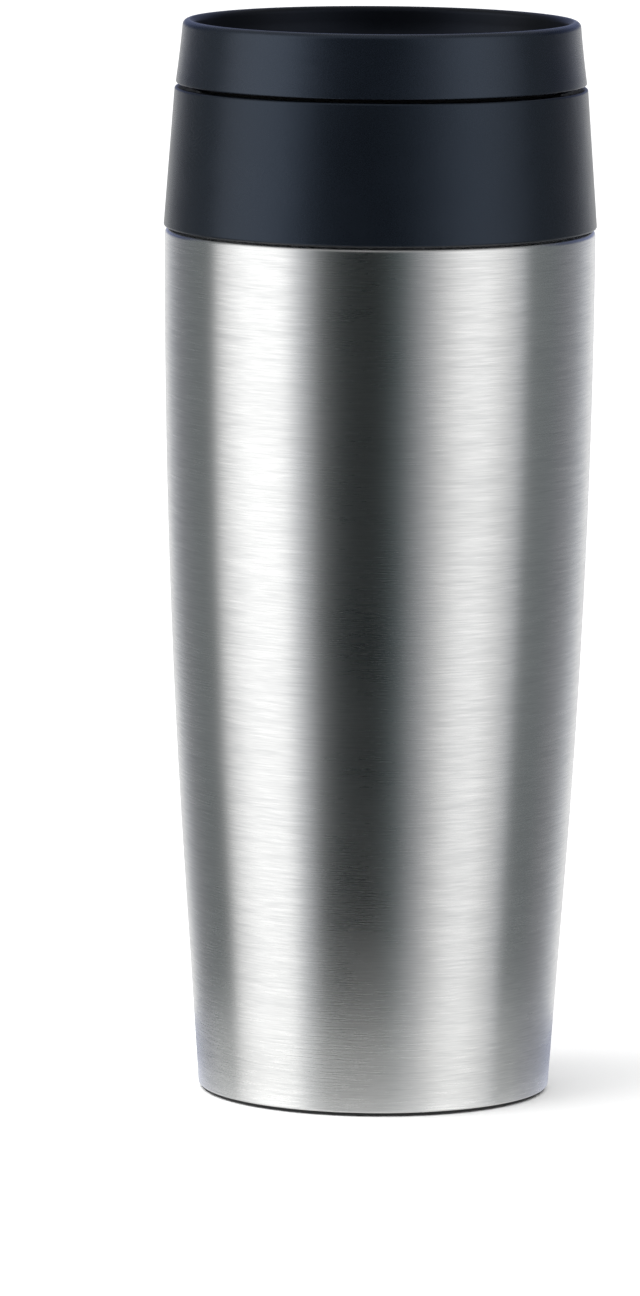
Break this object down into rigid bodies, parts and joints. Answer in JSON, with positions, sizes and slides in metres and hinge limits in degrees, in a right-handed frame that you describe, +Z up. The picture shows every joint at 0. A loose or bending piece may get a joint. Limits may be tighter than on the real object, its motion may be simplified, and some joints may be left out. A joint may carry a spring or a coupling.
{
  "type": "insulated travel mug",
  "caption": "Tapered double-walled steel travel mug with a black collar and a screw-in lid whose push-button valve pours all the way round.",
  "frame": {"origin": "centre of the foot, on the surface that the mug stands on", "axes": "+Z up along the mug's axis; the body is round, and +X is the side of one latch pin"},
  "size_m": [0.082, 0.082, 0.204],
  "materials": {
    "brushed_body": "satin, brushed round the body",
    "liner_steel": "plain drawn",
    "small_steel": "bright",
    "getter_metal": "sintered",
    "braze": "fused",
    "pad_rubber": "matte",
    "collar_plastic": "fine matte texture",
    "ring_plastic": "fine matte texture",
    "insert_plastic": "polished moulding",
    "disc_plastic": "polished moulding",
    "drum_plastic": "self-lubricating",
    "spring_steel": "drawn wire",
    "seal_silicone": "satin",
    "inlay_silicone": "soft matte"
  },
  "bodies": {
    "mug_body": {"outer_shell": "brushed_body", "inner_liner": "liner_steel", "base_cup": "liner_steel", "getter_clip": "small_steel", "getter_pellet": "getter_metal", "seal_bead": "braze", "base_pad": "pad_rubber", "neck_collar": "collar_plastic", "collar_seal": "seal_silicone"},
    "lid_gasket": {"lid_gasket": "seal_silicone"},
    "lid": {"drinking_ring": "ring_plastic", "ring_seal": "seal_silicone", "screw_insert": "insert_plastic", "mechanism_cover": "insert_plastic", "cam_pins": "small_steel", "stem_o_ring": "seal_silicone", "return_spring": "spring_steel"},
    "plunger": {"push_button": "insert_plastic", "button_inlay": "inlay_silicone", "button_seal": "seal_silicone", "valve_stem": "small_steel", "valve_disc": "disc_plastic", "valve_seal": "seal_silicone", "stem_washer": "small_steel", "valve_nut": "small_steel", "retaining_clip": "small_steel"},
    "latch_drum": {"latch_drum": "drum_plastic"}
  },
  "joints": [
    {"name": "lid_rise", "type": "slide", "parent": "mug_body", "child": "lid_gasket", "axis": [0, 0, 1], "range_m": [0, 0.036]},
    {"name": "lid_turn", "type": "hinge", "parent": "lid_gasket", "child": "lid", "pos_m": [0, 0, 0.192], "axis": [0, 0, 1], "range_deg": [0, 1080]},
    {"name": "button_press", "type": "slide", "parent": "lid", "child": "plunger", "axis": [0, 0, 1], "range_m": [-0.004, 0], "stiffness_N_per_m": 900, "springref_m": 0.006, "deforming": ["return_spring"]},
    {"name": "drum_turn", "type": "hinge", "parent": "plunger", "child": "latch_drum", "pos_m": [0, 0, 0.1877], "axis": [0, 0, 1], "range_deg": [0, 22.5]}
  ],
  "couplings": [
    {"joint": "lid_rise", "follows": "lid_turn", "m_per_rad": 0.0019099},
    {"joint": "drum_turn", "follows": "button_press", "rad_per_m": -98.175}
  ]
}
